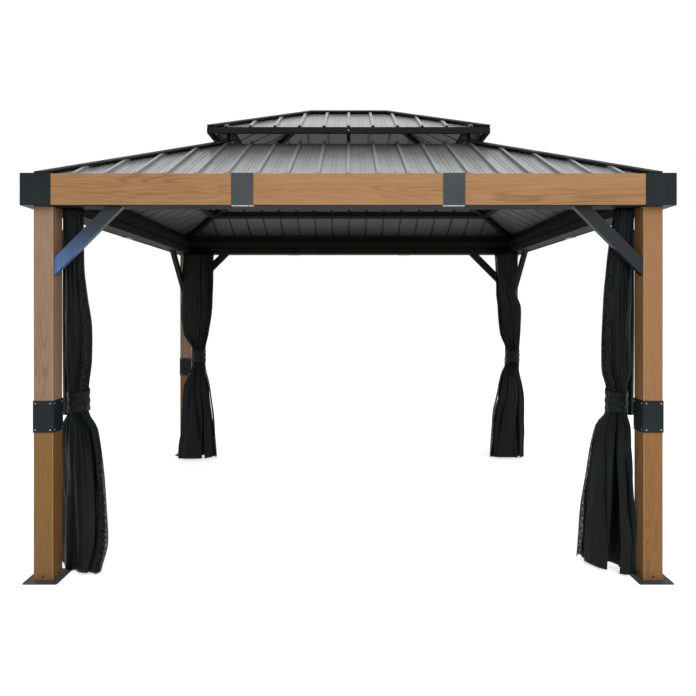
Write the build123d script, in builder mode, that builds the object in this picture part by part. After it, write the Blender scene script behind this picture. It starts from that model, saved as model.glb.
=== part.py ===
from build123d import *
import os
from math import cos, pi, sin

# A garden gazebo with a two-tier ribbed metal hip roof on four wood-grain aluminium posts.
# Millimetres, +Z up, origin on the ground under the middle of the roof, front towards -Y.

os.makedirs("parts", exist_ok=True)

# Overall sizes
roof_width = 3660  # over the two side fascias
roof_depth = 3040  # over the front and back fascias
headroom = 2124  # ground to the top of the posts

# Posts and their feet
post_side = 110
post_wall = 3
post_edge_radius = 4
plate_side = 196
plate_thickness = 6
plate_corner_radius = 10
anchor_hole = 12
anchor_inset = 20  # plate edge to the middle of an anchor hole
spigot_height = 90
spigot_wall = 4
spigot_clearance = 0.3
sleeve_height = 180
sleeve_middle = 932
sleeve_proud = 5
sleeve_clearance = 0.3

# Eave beams and fascias
fascia_thickness = 47
fascia_height = 175
fascia_wall = 3
fascia_gap = 2  # between the ends of two lengths of fascia
cover_proud = 3  # wall of the black corner covers and joint covers
corner_leg = 171
joint_cover_width = 123
front_joint_offset = 592  # middle of the front to a joint between two lengths
beam_side = post_side
beam_wall = 4
ledge_drop = 45  # fascia top down to the ledge on the beam's inner face
upstand_width = 60  # the part of the beam above that ledge, carrying the sheets
track_height = 62  # beam underside to the middle of the curtain track
track_slot = 14
track_depth = 16

# Knee braces
brace_leg = 392  # from the corner of post and beam to the brace's lower edge
brace_face = 70
brace_thickness = 35
brace_setback = 10  # from the outer face of the post

# Roof sheets
roof_slope = 0.49  # rise over run, on all sides of both tiers
sheet_thickness = 3
sheet_clearance = 1
rib_pitch = 173.5
rib_foot = 27
rib_height = 18
rib_flank_angle = 80
bead_spacing = 25
bead_width = 6
bead_height = 2.5
hip_gap = 1
eave_drop = 29  # fascia top down to the sheet, measured at the fascia's outer face
vent_run = 950  # fascia's outer face to the upper edge of the lower sheets, in plan
cap_width = 90
cap_thickness = 8

# Roof frame
frame_width = 40
frame_depth = 40
purlin_run = 458  # fascia's outer face to the mid purlins, in plan
curb_width = 45
mitre_gap = 0.8
strut_side = 25
strut_seat = 40  # how far a vent strut reaches down the inside of the curb

# Upper tier
vent_rise = 84.5  # upper edge of the lower sheets to the top of the upper fascia
upper_overhang = 115
upper_fascia_height = 42
upper_fascia_thickness = 25
upper_eave_drop = 12
upper_frame_depth = 30
upper_frame_width = 30

# Curtains, gathered and tied inside each post
curtain_clearance = 0.3
hem_clearance = 12
tie_height = 123

# Worked-out sizes
half_width = roof_width / 2
half_depth = roof_depth / 2
post_x = half_width - fascia_thickness - post_side / 2
post_y = half_depth - fascia_thickness - post_side / 2
fascia_top = headroom + fascia_height
ledge_height = fascia_height - ledge_drop
eave_z = fascia_top - eave_drop
vent_z = eave_z + roof_slope * vent_run
upper_half_width = half_width - vent_run + upper_overhang
upper_half_depth = half_depth - vent_run + upper_overhang
upper_fascia_top = vent_z + vent_rise
upper_eave_z = upper_fascia_top - upper_eave_drop
ridge_half_length = upper_half_width - upper_half_depth
very_high = 2 * (upper_eave_z + roof_slope * upper_half_width)

corners = {
    "front_left": (-1, -1),
    "front_right": (1, -1),
    "back_right": (1, 1),
    "back_left": (-1, 1),
}
# Each side of the roof: its turn about the vertical, half its length and its distance from the middle.
lower_sides = {
    "front": (0, half_width, half_depth),
    "right": (90, half_depth, half_width),
    "back": (180, half_width, half_depth),
    "left": (270, half_depth, half_width),
}
upper_sides = {
    "front": (0, upper_half_width, upper_half_depth),
    "right": (90, upper_half_depth, upper_half_width),
    "back": (180, upper_half_width, upper_half_depth),
    "left": (270, upper_half_depth, upper_half_width),
}


def upright(thickness):
    """Height of a layer of this thickness, measured plumb instead of square to the slope."""
    return thickness * (1 + roof_slope**2) ** 0.5


def turned(plane, angle):
    """The plane, turned about the vertical through the middle of the gazebo."""
    return Plane(Location((0, 0, 0), (0, 0, angle)) * plane.location)


def under_hip_roof(half_x, half_y, eave_height):
    """All that lies under a hip roof with this eave: a long gable crossed with a wide one."""
    with BuildPart() as body:
        for plane, half_span, half_run in ((Plane.XZ, half_x, half_y), (Plane.YZ, half_y, half_x)):
            with BuildSketch(plane):
                with BuildLine():
                    Polyline(
                        (-half_span, 0),
                        (half_span, 0),
                        (half_span, eave_height),
                        (0, eave_height + roof_slope * half_span),
                        (-half_span, eave_height),
                        close=True,
                    )
                make_face()
            extrude(
                amount=half_run,
                both=True,
                mode=Mode.ADD if plane == Plane.XZ else Mode.INTERSECT,
            )
    return body.part


def roof_layer(half_x, half_y, eave_height, top, bottom):
    """The layer of a hip roof between two depths, both square to the slope and upwards from it."""
    upper = under_hip_roof(half_x, half_y, eave_height + upright(top))
    lower = under_hip_roof(half_x, half_y, eave_height + upright(bottom))
    return upper - lower


def hip_strips(half_x, half_y, width, mode=Mode.ADD):
    """In plan, a strip along each of the four hips, from the corner to the ridge's end."""
    run = min(half_x, half_y)
    length = 2 * run * 2**0.5
    for x_sign, y_sign in corners.values():
        middle = Location((x_sign * half_x, y_sign * half_y, 0), (0, 0, x_sign * y_sign * 45))
        with Locations(middle):
            Rectangle(length, width, mode=mode)


def plan_ring(half_x, half_y, outer_run, inner_run, mode=Mode.ADD):
    """In plan, the ring between two distances in from the eave."""
    Rectangle(2 * (half_x - outer_run), 2 * (half_y - outer_run), mode=mode)
    Rectangle(2 * (half_x - inner_run), 2 * (half_y - inner_run), mode=Mode.SUBTRACT)


def sheet_section(plane, half_length):
    """A roof sheet cut across its ribs: flat pans, hollow ribs and a pair of low beads in each pan."""
    ribs = 2 * int(half_length / rib_pitch) + 1
    hollow_foot = rib_foot - 2 * sheet_thickness
    with BuildSketch(plane) as section:
        Rectangle(2 * half_length, sheet_thickness, align=(Align.CENTER, Align.MAX))
        with GridLocations(rib_pitch, 0, ribs, 1):
            Trapezoid(rib_foot, rib_height, rib_flank_angle, align=(Align.CENTER, Align.MIN))
            with Locations((0, -sheet_thickness)):
                Trapezoid(
                    hollow_foot,
                    rib_height,
                    rib_flank_angle,
                    align=(Align.CENTER, Align.MIN),
                    mode=Mode.SUBTRACT,
                )
        with GridLocations(rib_pitch, 0, ribs - 1, 1):
            with GridLocations(bead_spacing, 0, 2, 1):
                Trapezoid(bead_width, bead_height, 60, align=(Align.CENTER, Align.MIN))
    return section.sketch


# Posts, base plates with their spigots, and the sleeves at mid height
for corner, (x_sign, y_sign) in corners.items():
    centre = (x_sign * post_x, y_sign * post_y)

    with BuildPart() as post:
        with BuildSketch(Plane.XY.offset(plate_thickness)):
            with Locations(centre):
                RectangleRounded(post_side, post_side, post_edge_radius)
                Rectangle(post_side - 2 * post_wall, post_side - 2 * post_wall, mode=Mode.SUBTRACT)
        extrude(amount=headroom - plate_thickness)
    post.part.label = f"post_{corner}"
    export_step(post.part, f"parts/post_{corner}.step")

    with BuildPart() as base_plate:
        with BuildSketch():
            with Locations(centre):
                RectangleRounded(plate_side, plate_side, plate_corner_radius)
                hole_spacing = plate_side - 2 * anchor_inset
                with GridLocations(hole_spacing, hole_spacing, 2, 2):
                    Circle(anchor_hole / 2, mode=Mode.SUBTRACT)
        extrude(amount=plate_thickness)
        with BuildSketch(Plane.XY.offset(plate_thickness)):
            with Locations(centre):
                spigot_side = post_side - 2 * post_wall - 2 * spigot_clearance
                Rectangle(spigot_side, spigot_side)
                Rectangle(
                    spigot_side - 2 * spigot_wall,
                    spigot_side - 2 * spigot_wall,
                    mode=Mode.SUBTRACT,
                )
        extrude(amount=spigot_height)
    base_plate.part.label = f"base_plate_{corner}"
    export_step(base_plate.part, f"parts/base_plate_{corner}.step")

with BuildPart() as post_sleeves:
    with BuildSketch(Plane.XY.offset(sleeve_middle - sleeve_height / 2)):
        with GridLocations(2 * post_x, 2 * post_y, 2, 2):
            sleeve_side = post_side + 2 * sleeve_proud
            sleeve_bore = post_side + 2 * sleeve_clearance
            RectangleRounded(sleeve_side, sleeve_side, post_edge_radius + sleeve_proud)
            RectangleRounded(sleeve_bore, sleeve_bore, post_edge_radius, mode=Mode.SUBTRACT)
    extrude(amount=sleeve_height)
post_sleeves.part.label = "post_sleeves"
export_step(post_sleeves.part, "parts/post_sleeves.step")

# Knee braces: one in the front or back plane and one in the side plane at each post
beam_inner_x = post_x - post_side / 2
beam_inner_y = post_y - post_side / 2
upper_leg = brace_leg - brace_face * 2**0.5
for corner, (x_sign, y_sign) in corners.items():
    with BuildPart() as knee_braces:
        outer_y = y_sign * (post_y + post_side / 2 - brace_setback)
        with BuildSketch(Plane.XZ.offset(-outer_y)):
            with BuildLine():
                Polyline(
                    (x_sign * beam_inner_x, headroom - upper_leg),
                    (x_sign * beam_inner_x, headroom - brace_leg),
                    (x_sign * (beam_inner_x - brace_leg), headroom),
                    (x_sign * (beam_inner_x - upper_leg), headroom),
                    close=True,
                )
            make_face()
        extrude(amount=y_sign * brace_thickness)
        outer_x = x_sign * (post_x + post_side / 2 - brace_setback)
        with BuildSketch(Plane.YZ.offset(outer_x)):
            with BuildLine():
                Polyline(
                    (y_sign * beam_inner_y, headroom - upper_leg),
                    (y_sign * beam_inner_y, headroom - brace_leg),
                    (y_sign * (beam_inner_y - brace_leg), headroom),
                    (y_sign * (beam_inner_y - upper_leg), headroom),
                    close=True,
                )
            make_face()
        extrude(amount=-x_sign * brace_thickness)
    knee_braces.part.label = f"knee_braces_{corner}"
    export_step(knee_braces.part, f"parts/knee_braces_{corner}.step")

# Eave beams: hollow, with a curtain track in the inner face and a sloping top under the sheets
sheet_underside = under_hip_roof(half_width, half_depth, eave_z - upright(sheet_thickness))
for side, (angle, along, out) in lower_sides.items():
    beam_outer = out - fascia_thickness
    beam_inner = beam_outer - beam_side
    through = side in ("front", "back")
    beam_half_length = along - fascia_thickness - (0 if through else beam_side)
    track_z = headroom + track_height
    with BuildPart() as beam:
        with BuildSketch(turned(Plane.YZ, angle)):
            with BuildLine():
                Polyline(
                    (-beam_outer, headroom),
                    (-beam_inner, headroom),
                    (-beam_inner, headroom + ledge_height),
                    (-beam_outer + upstand_width, headroom + ledge_height),
                    (-beam_outer + upstand_width, very_high),
                    (-beam_outer, very_high),
                    close=True,
                )
            make_face()
            with Locations((-beam_inner - track_depth / 2, track_z)):
                Rectangle(track_depth, track_slot, mode=Mode.SUBTRACT)
            with Locations((-beam_outer + beam_wall, headroom + beam_wall)):
                Rectangle(
                    beam_side - track_depth - 2 * beam_wall,
                    ledge_height - 2 * beam_wall,
                    align=(Align.MIN, Align.MIN),
                    mode=Mode.SUBTRACT,
                )
        extrude(amount=beam_half_length, both=True)
        add(sheet_underside, mode=Mode.INTERSECT)
    beam.part.label = f"beam_{side}"
    export_step(beam.part, f"parts/beam_{side}.step")

    joints = [-front_joint_offset, front_joint_offset] if through else [0]
    with BuildPart() as fascia:
        with BuildSketch(turned(Plane.YZ, angle)):
            with Locations((-out, headroom)):
                Rectangle(fascia_thickness, fascia_height, align=(Align.MIN, Align.MIN))
            with Locations((-out + fascia_wall, headroom + fascia_wall)):
                Rectangle(
                    fascia_thickness - 2 * fascia_wall,
                    fascia_height - 2 * fascia_wall,
                    align=(Align.MIN, Align.MIN),
                    mode=Mode.SUBTRACT,
                )
        extrude(amount=along, both=True)
        with BuildSketch(turned(Plane.XY, angle)):
            with BuildLine():
                Polyline(
                    (-along + mitre_gap, -out),
                    (along - mitre_gap, -out),
                    (along - mitre_gap - fascia_thickness, -out + fascia_thickness),
                    (-along + mitre_gap + fascia_thickness, -out + fascia_thickness),
                    close=True,
                )
            make_face()
        extrude(amount=very_high, mode=Mode.INTERSECT)
        with BuildSketch(turned(Plane.XY, angle)):
            for joint in joints:
                with Locations((joint, -out + fascia_thickness / 2)):
                    Rectangle(fascia_gap, 2 * fascia_thickness)
        extrude(amount=very_high, mode=Mode.SUBTRACT)
    fascia.part.label = f"fascia_{side}"
    export_step(fascia.part, f"parts/fascia_{side}.step")

# Black covers: an angle piece round each corner of the fascia and a channel over each joint
cover_bottom = headroom - cover_proud
cover_height = fascia_height + 2 * cover_proud
for corner, (x_sign, y_sign) in corners.items():
    with BuildPart() as corner_cover:
        with BuildSketch(Plane.XY.offset(cover_bottom)):
            with Locations((x_sign * (half_width + cover_proud), y_sign * (half_depth + cover_proud))):
                Rectangle(2 * corner_leg, 2 * corner_leg)
            Rectangle(
                2 * (half_width + cover_proud),
                2 * (half_depth + cover_proud),
                mode=Mode.INTERSECT,
            )
            Rectangle(
                2 * (half_width - fascia_thickness),
                2 * (half_depth - fascia_thickness),
                mode=Mode.SUBTRACT,
            )
        extrude(amount=cover_height)
        with BuildSketch(Plane.XY.offset(headroom)):
            Rectangle(2 * half_width, 2 * half_depth)
        extrude(amount=fascia_height, mode=Mode.SUBTRACT)
    corner_cover.part.label = f"corner_cover_{corner}"
    export_step(corner_cover.part, f"parts/corner_cover_{corner}.step")

with BuildPart() as joint_covers:
    for side, (angle, along, out) in lower_sides.items():
        for joint in [-front_joint_offset, front_joint_offset] if side in ("front", "back") else [0]:
            with BuildSketch(turned(Plane.YZ.offset(joint - joint_cover_width / 2), angle)):
                with Locations((-out - cover_proud, cover_bottom)):
                    Rectangle(
                        fascia_thickness + cover_proud, cover_height, align=(Align.MIN, Align.MIN)
                    )
                with Locations((-out, headroom)):
                    Rectangle(
                        fascia_thickness,
                        fascia_height,
                        align=(Align.MIN, Align.MIN),
                        mode=Mode.SUBTRACT,
                    )
            extrude(amount=joint_cover_width)
joint_covers.part.label = "fascia_joint_covers"
export_step(joint_covers.part, "parts/fascia_joint_covers.step")

# Roof sheets of both tiers: ribbed up the slope, cut in plan along the hips
tiers = {
    "lower_roof": (lower_sides, eave_z, fascia_thickness + sheet_clearance, vent_run),
    "upper_roof": (
        upper_sides,
        upper_eave_z,
        upper_fascia_thickness + sheet_clearance,
        upper_half_depth - 2 * hip_gap,
    ),
}
for tier, (sides, height, start, end) in tiers.items():
    for side, (angle, along, out) in sides.items():
        up_slope = Plane(origin=(0, -out, height), x_dir=(-1, 0, 0), z_dir=(0, 1, roof_slope))
        eave_plane = turned(up_slope, angle)
        with BuildPart() as sheet:
            extrude(sheet_section(eave_plane, along), amount=upright(end), dir=eave_plane.z_dir)
            with BuildSketch(turned(Plane.XY, angle)):
                with BuildLine():
                    Polyline(
                        (-along + start + hip_gap, -out + start),
                        (along - start - hip_gap, -out + start),
                        (along - end - hip_gap, -out + end),
                        (-along + end + hip_gap, -out + end),
                        close=True,
                    )
                make_face()
            extrude(amount=very_high, mode=Mode.INTERSECT)
        sheet.part.label = f"{tier}_{side}"
        export_step(sheet.part, f"parts/{tier}_{side}.step")

# Hip caps, riding on the tops of the ribs
cap_top = rib_height + cap_thickness
with BuildPart() as lower_hip_caps:
    with BuildSketch():
        hip_strips(half_width, half_depth, cap_width)
        plan_ring(half_width, half_depth, fascia_thickness + sheet_clearance, vent_run, Mode.INTERSECT)
    extrude(amount=very_high)
    add(roof_layer(half_width, half_depth, eave_z, cap_top, rib_height), mode=Mode.INTERSECT)
lower_hip_caps.part.label = "lower_hip_caps"
export_step(lower_hip_caps.part, "parts/lower_hip_caps.step")

ridge_cap_length = 2 * ridge_half_length + 1.5 * cap_width
upper_cap_layer = roof_layer(upper_half_width, upper_half_depth, upper_eave_z, cap_top, rib_height)
with BuildPart() as upper_hip_caps:
    with BuildSketch():
        hip_strips(upper_half_width, upper_half_depth, cap_width)
        Rectangle(2 * upper_half_width, 2 * upper_half_depth, mode=Mode.INTERSECT)
        Rectangle(ridge_cap_length + mitre_gap, cap_width + mitre_gap, mode=Mode.SUBTRACT)
    extrude(amount=very_high)
    add(upper_cap_layer, mode=Mode.INTERSECT)
upper_hip_caps.part.label = "upper_hip_caps"
export_step(upper_hip_caps.part, "parts/upper_hip_caps.step")

with BuildPart() as ridge_cap:
    with BuildSketch():
        Rectangle(ridge_cap_length, cap_width)
    extrude(amount=very_high)
    add(upper_cap_layer, mode=Mode.INTERSECT)
ridge_cap.part.label = "ridge_cap"
export_step(ridge_cap.part, "parts/ridge_cap.step")

# Roof frame of the lower tier: hip rafters, mid purlins between them and the curb round the vent
lower_frame_layer = roof_layer(
    half_width, half_depth, eave_z, -sheet_thickness, -sheet_thickness - frame_depth
)
upstand_run = fascia_thickness + upstand_width
curb_run = vent_run - curb_width
with BuildPart() as hip_rafters:
    with BuildSketch():
        hip_strips(half_width, half_depth, frame_width)
        plan_ring(half_width, half_depth, upstand_run, curb_run, Mode.INTERSECT)
    extrude(amount=very_high)
    add(lower_frame_layer, mode=Mode.INTERSECT)
hip_rafters.part.label = "hip_rafters"
export_step(hip_rafters.part, "parts/hip_rafters.step")

with BuildPart() as mid_purlins:
    with BuildSketch():
        plan_ring(half_width, half_depth, purlin_run, purlin_run + frame_width)
        hip_strips(half_width, half_depth, frame_width, Mode.SUBTRACT)
    extrude(amount=very_high)
    add(lower_frame_layer, mode=Mode.INTERSECT)
mid_purlins.part.label = "mid_purlins"
export_step(mid_purlins.part, "parts/mid_purlins.step")

with BuildPart() as vent_curb:
    with BuildSketch():
        plan_ring(half_width, half_depth, curb_run, vent_run)
        hip_strips(half_width, half_depth, mitre_gap, Mode.SUBTRACT)
    extrude(amount=very_high)
    add(lower_frame_layer, mode=Mode.INTERSECT)
vent_curb.part.label = "vent_curb"
export_step(vent_curb.part, "parts/vent_curb.step")

# Upper tier: fascia, frame, and the struts that stand it on the inside of the curb
with BuildPart() as upper_fascia:
    with BuildSketch(Plane.XY.offset(upper_fascia_top - upper_fascia_height)):
        plan_ring(upper_half_width, upper_half_depth, 0, upper_fascia_thickness)
        hip_strips(upper_half_width, upper_half_depth, mitre_gap, Mode.SUBTRACT)
    extrude(amount=upper_fascia_height)
upper_fascia.part.label = "upper_fascia"
export_step(upper_fascia.part, "parts/upper_fascia.step")

upper_frame_bottom = -sheet_thickness - upper_frame_depth
upper_frame_layer = roof_layer(
    upper_half_width, upper_half_depth, upper_eave_z, -sheet_thickness, upper_frame_bottom
)
ridge_beam_length = 2 * ridge_half_length + 1.5 * upper_frame_width
with BuildPart() as upper_rafters:
    with BuildSketch():
        hip_strips(upper_half_width, upper_half_depth, upper_frame_width)
        Rectangle(
            2 * (upper_half_width - upper_fascia_thickness),
            2 * (upper_half_depth - upper_fascia_thickness),
            mode=Mode.INTERSECT,
        )
        Rectangle(ridge_beam_length, upper_frame_width, mode=Mode.SUBTRACT)
    extrude(amount=very_high)
    add(upper_frame_layer, mode=Mode.INTERSECT)
upper_rafters.part.label = "upper_rafters"
export_step(upper_rafters.part, "parts/upper_rafters.step")

with BuildPart() as ridge_beam:
    with BuildSketch():
        Rectangle(ridge_beam_length, upper_frame_width)
    extrude(amount=very_high)
    add(upper_frame_layer, mode=Mode.INTERSECT)
ridge_beam.part.label = "ridge_beam"
export_step(ridge_beam.part, "parts/ridge_beam.step")

strut_x = half_width - vent_run - strut_side / 2
strut_y = half_depth - vent_run - strut_side / 2
with BuildPart() as upper_purlins:
    with BuildSketch():
        plan_ring(half_width, half_depth, vent_run, vent_run + strut_side)
        hip_strips(half_width, half_depth, upper_frame_width, Mode.SUBTRACT)
    extrude(amount=very_high)
    add(upper_frame_layer, mode=Mode.INTERSECT)
upper_purlins.part.label = "upper_purlins"
export_step(upper_purlins.part, "parts/upper_purlins.step")

upper_frame_underside = under_hip_roof(
    upper_half_width, upper_half_depth, upper_eave_z + upright(upper_frame_bottom)
)
with BuildPart() as vent_struts:
    with BuildSketch(Plane.XY.offset(vent_z - upright(sheet_thickness) - strut_seat)):
        with GridLocations(2 * strut_x, 2 * strut_y, 2, 2):
            Rectangle(strut_side, strut_side)
        with Locations((0, -strut_y), (0, strut_y), (-strut_x, 0), (strut_x, 0)):
            Rectangle(strut_side, strut_side)
    extrude(amount=very_high)
    add(upper_frame_underside, mode=Mode.INTERSECT)
vent_struts.part.label = "vent_struts"
export_step(vent_struts.part, "parts/vent_struts.step")

# Curtains: a flat gather under the beams, a round waist at the tie and a flare down to the hem.
# Each section is (height, inset from the post's inner corner in x and y, half length, half width, turn).
gather_sides = 16
curtain_top = headroom - curtain_clearance
front_left_gather = {
    "tie": 1000,
    "waist": (70, 53, 62),
    "upper": [
        (1250, 73, 46, 98, 55, 26),
        (1420, 74, 40, 105, 52, 26),
        (1620, 70, 22, 80, 45, 24),
        (1800, 68, 8, 64, 40, 20),
        (curtain_top, 70, -18, 66, 40, 10),
    ],
    "lower": [
        (842, 80, 47, 145, 62, 28),
        (600, 92, 42, 185, 64, 28),
        (206, 103, 36, 207, 66, 28),
        (hem_clearance, 95, 36, 160, 60, 28),
    ],
}
front_right_gather = {
    "tie": 1000,
    "waist": (80, 53, 62),
    "upper": [
        (1190, 84, 46, 112, 56, 26),
        (1360, 86, 40, 114, 52, 26),
        (1600, 86, 26, 104, 48, 24),
        (1770, 89, 4, 88, 44, 20),
        (curtain_top, 66, -18, 62, 40, 10),
    ],
    "lower": [
        (842, 95, 64, 108, 62, -50),
        (600, 113, 70, 140, 66, -50),
        (194, 132, 66, 178, 68, -50),
        (hem_clearance, 140, 68, 180, 68, -50),
    ],
}
back_left_gather = {
    "tie": 1050,
    "waist": (108, 76, 70),
    "upper": [
        (1300, 82, 68, 132, 56, 4),
        (1620, 94, 60, 156, 50, 4),
        (curtain_top, 101, 57, 158, 45, 4),
    ],
    "lower": [
        (730, 96, 105, 136, 75, 8),
        (426, 106, 122, 170, 80, 12),
        (hem_clearance, 104, 130, 204, 80, 12),
    ],
}
back_right_gather = {
    "tie": 1050,
    "waist": (-29, 78, 70),
    "upper": [
        (1300, -5, 76, 108, 55, 20),
        (1560, 2, 72, 122, 50, 20),
        (1720, 42, 96, 110, 50, 35),
        (curtain_top, 44, 118, 138, 50, 45),
    ],
    "lower": [
        (877, -4, 86, 96, 66, 0),
        (730, -3, 92, 132, 68, 0),
        (430, 20, 96, 170, 68, 0),
        (hem_clearance, 33, 98, 184, 68, 0),
    ],
}
curtain_sections = {
    "front_left": front_left_gather,
    "front_right": front_right_gather,
    "back_right": back_right_gather,
    "back_left": back_left_gather,
}


def gather_outline(half_length, half_thickness):
    """Corners of a flat gather of cloth, in plan: a many-sided oval."""
    steps = [2 * pi * step / gather_sides for step in range(gather_sides)]
    return [(half_length * cos(step), half_thickness * sin(step)) for step in steps]


for corner, (x_sign, y_sign) in corners.items():
    shape = curtain_sections[corner]
    waist_x, waist_y, waist_radius = shape["waist"]
    waist_top = shape["tie"] + tie_height / 2
    waist_bottom = shape["tie"] - tie_height / 2
    with BuildPart() as curtain:
        for flare, waist_z in ((shape["lower"], waist_bottom), (shape["upper"], waist_top)):
            for z, inset_x, inset_y, half_length, half_thickness, turn in [
                (waist_z, waist_x, waist_y, waist_radius, waist_radius - 1, flare[0][5]),
                *flare,
            ]:
                x = x_sign * (beam_inner_x - inset_x)
                y = y_sign * (beam_inner_y - inset_y)
                with BuildSketch(Plane.XY.offset(z)):
                    with Locations(Location((x, y, 0), (0, 0, -x_sign * y_sign * turn))):
                        Polygon(*gather_outline(half_length, half_thickness))
            loft(ruled=True)
        with BuildSketch(Plane.XY.offset(waist_bottom)):
            with Locations((x_sign * (beam_inner_x - waist_x), y_sign * (beam_inner_y - waist_y))):
                RegularPolygon(waist_radius, gather_sides)
        extrude(amount=tie_height)
    curtain.part.label = f"curtain_{corner}"
    export_step(curtain.part, f"parts/curtain_{corner}.step")
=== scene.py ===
"""A garden gazebo: two-tier ribbed metal hip roof, wood-grain posts and fascias, black curtains.

Metres, in the frame of the CAD model: +Z up, the ground at 0, the front towards -Y.
"""

from itertools import product

import bpy
import numpy as np
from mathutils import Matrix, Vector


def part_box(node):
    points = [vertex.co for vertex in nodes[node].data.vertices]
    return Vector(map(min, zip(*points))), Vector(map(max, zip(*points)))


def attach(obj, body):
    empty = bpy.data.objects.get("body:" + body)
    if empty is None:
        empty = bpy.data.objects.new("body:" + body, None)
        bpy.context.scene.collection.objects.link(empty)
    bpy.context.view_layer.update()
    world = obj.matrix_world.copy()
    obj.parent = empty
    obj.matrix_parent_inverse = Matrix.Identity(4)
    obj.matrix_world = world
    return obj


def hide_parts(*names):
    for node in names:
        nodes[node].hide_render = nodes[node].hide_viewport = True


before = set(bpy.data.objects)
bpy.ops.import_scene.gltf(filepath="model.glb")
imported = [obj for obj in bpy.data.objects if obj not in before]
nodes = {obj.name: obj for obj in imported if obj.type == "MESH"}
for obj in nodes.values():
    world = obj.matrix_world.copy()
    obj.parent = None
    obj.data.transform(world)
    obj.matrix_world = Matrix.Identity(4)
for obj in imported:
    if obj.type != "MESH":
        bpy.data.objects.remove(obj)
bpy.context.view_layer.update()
scene = bpy.context.scene


def cad_box(node_name):
    """A CAD node's lowest and highest corner, to a tenth of a millimetre."""
    return np.round(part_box(node_name), 4).tolist()


# Sizes read from the CAD model. The curtains are placed from the inner corners of the posts.
(inner_x, inner_y, plate_top), (outer_x, outer_y, headroom) = cad_box("post_back_right")
post_x, post_y = (inner_x + outer_x) / 2, (inner_y + outer_y) / 2
post_half = outer_x - post_x
(_, _, sleeve_bottom), (sleeve_outer_x, _, sleeve_top) = cad_box("post_sleeves")
sleeve_half = sleeve_outer_x - post_x
sleeve_middle = (sleeve_bottom + sleeve_top) / 2
half_width = cad_box("fascia_right")[1][0]
_, half_depth, fascia_top = cad_box("fascia_back")[1]
(_, _, upper_fascia_bottom), upper_fascia_corner = cad_box("upper_fascia")
upper_half_width, upper_half_depth, upper_fascia_top = upper_fascia_corner

# Sizes that repeat the CAD model's
roof_slope = 0.49
rib_pitch, rib_height = 0.1735, 0.018
vent_run = 0.950
eave_drop, upper_eave_drop = 0.029, 0.012
track_height = 0.062
front_joint_offset = 0.592
eave_z = fascia_top - eave_drop
upper_eave_z = upper_fascia_top - upper_eave_drop
track_z = headroom + track_height

# Each corner's side in x and in y
CORNERS = {
    "front_left": (-1, -1),
    "front_right": (1, -1),
    "back_right": (1, 1),
    "back_left": (-1, 1),
}


class Signal:
    """A number that varies over a surface. It wraps a socket, and sums on it add Math nodes."""

    def __init__(self, finish, socket):
        self.finish = finish
        self.socket = socket

    def math(self, operation, *values):
        sockets = dict(enumerate(values))
        made = self.finish.node("Math", {"operation": operation}, sockets)
        return Signal(self.finish, made.outputs[0])

    def __add__(self, other):
        return self.math("ADD", self, other)

    def __sub__(self, other):
        return self.math("SUBTRACT", self, other)

    def __rsub__(self, other):
        return self.math("SUBTRACT", other, self)

    def __mul__(self, other):
        return self.math("MULTIPLY", self, other)

    def __truediv__(self, other):
        return self.math("DIVIDE", self, other)

    def __rtruediv__(self, other):
        return self.math("DIVIDE", other, self)

    def __pow__(self, other):
        return self.math("POWER", self, other)

    __radd__ = __add__
    __rmul__ = __mul__

    def sine(self):
        return self.math("SINE", self)

    def size(self):
        return self.math("ABSOLUTE", self)

    def larger(self, other):
        return self.math("MAXIMUM", self, other)

    def smaller(self, other):
        return self.math("MINIMUM", self, other)

    def between(self, low, high):
        """0 below low, 1 above high, and a smooth step between them."""
        made = self.finish.node(
            "MapRange",
            {"interpolation_type": "SMOOTHSTEP"},
            {"Value": self, "From Min": low, "From Max": high},
        )
        return Signal(self.finish, made.outputs[0])


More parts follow.
